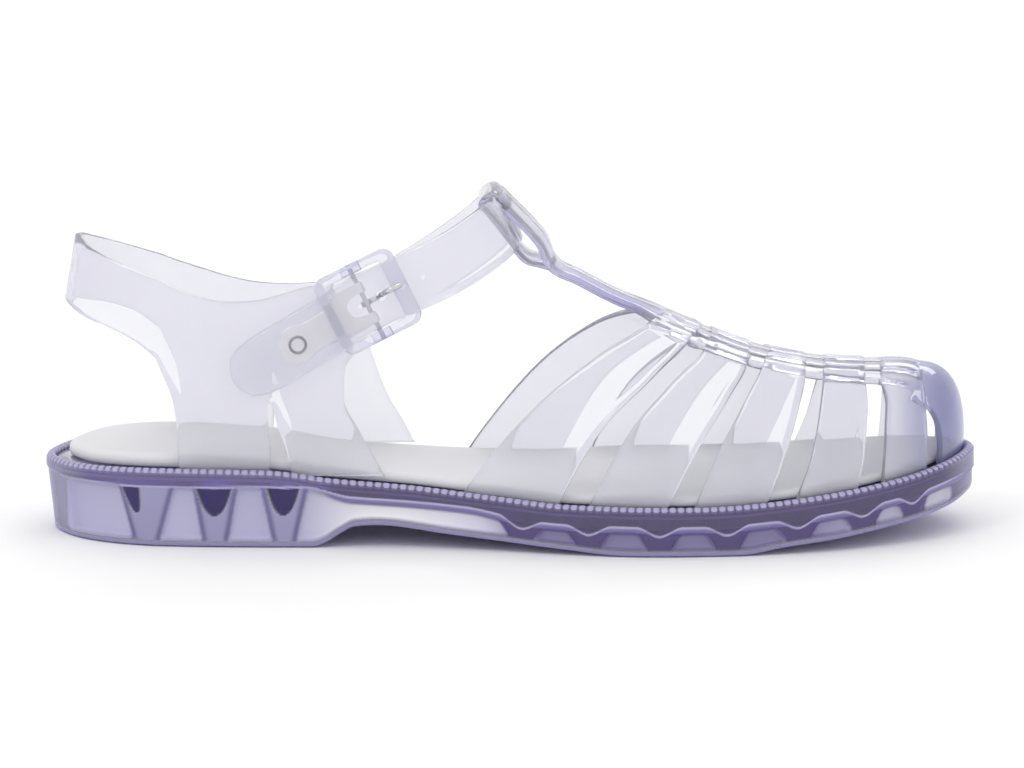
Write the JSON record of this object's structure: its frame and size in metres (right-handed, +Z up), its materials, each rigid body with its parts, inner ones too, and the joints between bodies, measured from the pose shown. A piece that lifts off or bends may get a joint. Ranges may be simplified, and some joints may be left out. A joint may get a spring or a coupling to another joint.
{
  "type": "jelly sandal",
  "caption": "Clear moulded T-strap sandal with a woven vamp, buckled ankle strap, pale insole and a tinted sole with windows down its side.",
  "frame": {"origin": "middle of the sole's outline, on the plane that the heel and the forefoot stand on", "axes": "+X along the foot to the toe, +Y to the inner (big-toe) side of the right foot, +Z up"},
  "size_m": [0.2644, 0.0929, 0.0987],
  "materials": {
    "tinted_sole": "clear violet soft plastic, glossy, with frosted windows",
    "clear_upper": "nearly clear soft plastic with a lilac tint, glossy",
    "insole_pad": "pale grey fine-grained sock, satin",
    "clear_frame": "clear hard plastic, glossy",
    "plate_metal": "satin nickel plate",
    "pin_metal": "bright polished",
    "rivet_metal": "bright polished"
  },
  "bodies": {
    "root": {"outsole": "tinted_sole", "upper": "clear_upper", "insole": "insole_pad", "buckle_frame": "clear_frame", "buckle_plate": "plate_metal", "buckle_axle": "pin_metal", "buckle_prong": "pin_metal", "rivet": "rivet_metal"}
  },
  "joints": []
}
